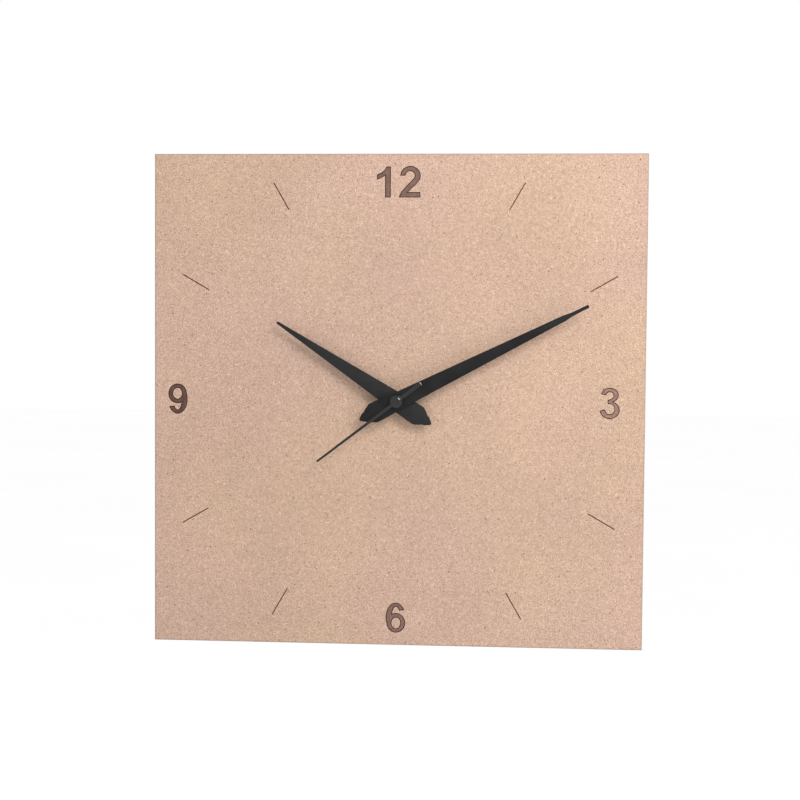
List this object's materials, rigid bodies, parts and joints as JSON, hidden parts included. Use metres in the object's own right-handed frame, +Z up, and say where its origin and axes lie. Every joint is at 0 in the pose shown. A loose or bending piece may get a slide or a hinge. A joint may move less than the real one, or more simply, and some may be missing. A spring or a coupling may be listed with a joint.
{
  "type": "wall clock",
  "caption": "Square frameless wall clock: engraved fibreboard dial with numerals and hour ticks, tapered black hands, and a rear battery quartz movement with a hanger.",
  "frame": {"origin": "on the hands' axis, in the plane of the movement's back, which rests on the wall", "axes": "+Z up, +X to the right as seen from the front, +Y into the wall, so the dial faces -Y"},
  "size_m": [0.3, 0.0328, 0.3],
  "materials": {
    "board": "raw fibreboard, laser-engraved and scorched",
    "black_metal": "satin black",
    "brass": "turned",
    "rubber": "moulded, matt",
    "turned_alloy": "turned, bright",
    "case_plastic": "moulded, fine spark texture",
    "bridge_plastic": "moulded",
    "wheel_plastic": "moulded acetal",
    "knob_plastic": "moulded acetal",
    "steel": "ground",
    "stator_iron": "stamped, dull",
    "magnet": "bonded magnet, dark grey",
    "copper_wire": "enamelled copper winding",
    "circuit": "solder mask over copper tracks",
    "cell_can": "printed sleeve, no lettering",
    "nickel": "nickel plate"
  },
  "bodies": {
    "root": {"dial_board": "board", "rubber_pad": "rubber", "face_washer": "brass", "hex_nut": "brass", "movement_case": "case_plastic", "hanger": "case_plastic", "front_cover": "case_plastic", "threaded_bush": "brass", "gear_bridge": "bridge_plastic", "stator": "stator_iron", "coil_core": "stator_iron", "coil_bobbin": "case_plastic", "coil_winding": "copper_wire", "coil_screws": "steel", "circuit_board": "circuit", "chip_cap": "case_plastic", "quartz_crystal": "nickel", "negative_contact": "nickel", "positive_contact": "nickel"},
    "seconds": {"second_arbor": "steel", "second_wheel": "wheel_plastic", "second_hand": "black_metal", "second_hand_hub": "black_metal"},
    "rotor": {"rotor_pinion": "wheel_plastic", "rotor_magnet": "magnet"},
    "intermediate": {"intermediate_wheel": "wheel_plastic"},
    "third": {"third_arbor": "steel", "third_wheel": "wheel_plastic"},
    "centre": {"centre_wheel": "wheel_plastic"},
    "minutes": {"minute_arbor": "steel", "clutch_spring": "brass", "minute_hand": "black_metal", "minute_hand_collar": "turned_alloy"},
    "motion": {"minute_wheel": "wheel_plastic"},
    "hours": {"hour_wheel": "wheel_plastic", "hour_hand": "black_metal", "hour_hand_collar": "turned_alloy"},
    "knob": {"setting_knob": "knob_plastic", "setting_pinion": "wheel_plastic"},
    "cell": {"battery_cell": "cell_can", "battery_nub": "nickel"}
  },
  "joints": [
    {"name": "second_hand_spin", "type": "hinge", "parent": "root", "child": "seconds", "pos_m": [0, -0.03, 0], "axis": [0, 1, 0], "continuous": true},
    {"name": "rotor_spin", "type": "hinge", "parent": "root", "child": "rotor", "pos_m": [0.0038, -0.006, 0.01327], "axis": [0, 1, 0], "continuous": true},
    {"name": "intermediate_spin", "type": "hinge", "parent": "root", "child": "intermediate", "pos_m": [0.00441, -0.006, 0.00629], "axis": [0, 1, 0], "continuous": true},
    {"name": "third_wheel_spin", "type": "hinge", "parent": "root", "child": "third", "pos_m": [-0.00824, -0.006, 0.00476], "axis": [0, 1, 0], "continuous": true},
    {"name": "centre_wheel_spin", "type": "hinge", "parent": "root", "child": "centre", "pos_m": [0, -0.0086, 0], "axis": [0, 1, 0], "continuous": true},
    {"name": "minute_hand_spin", "type": "hinge", "parent": "root", "child": "minutes", "pos_m": [0, -0.028, 0], "axis": [0, 1, 0], "continuous": true},
    {"name": "minute_wheel_spin", "type": "hinge", "parent": "root", "child": "motion", "pos_m": [0.00831, -0.01, 0.0048], "axis": [0, 1, 0], "continuous": true},
    {"name": "hour_hand_spin", "type": "hinge", "parent": "root", "child": "hours", "pos_m": [0, -0.02, 0], "axis": [0, 1, 0], "continuous": true},
    {"name": "setting_knob_spin", "type": "hinge", "parent": "root", "child": "knob", "pos_m": [0.01777, -0.005, 0.00313], "axis": [0, 1, 0], "continuous": true},
    {"name": "battery_slide", "type": "slide", "parent": "root", "child": "cell", "axis": [0, 1, 0], "range_m": [0, 0.02]}
  ],
  "couplings": [
    {"joint": "rotor_spin", "follows": "second_hand_spin", "ratio": 30},
    {"joint": "intermediate_spin", "follows": "second_hand_spin", "ratio": -5},
    {"joint": "third_wheel_spin", "follows": "second_hand_spin", "ratio": -0.13333},
    {"joint": "centre_wheel_spin", "follows": "second_hand_spin", "ratio": 0.016667},
    {"joint": "minute_wheel_spin", "follows": "minute_hand_spin", "ratio": -0.33333},
    {"joint": "hour_hand_spin", "follows": "minute_hand_spin", "ratio": 0.083333},
    {"joint": "setting_knob_spin", "follows": "minute_hand_spin", "ratio": 1}
  ]
}
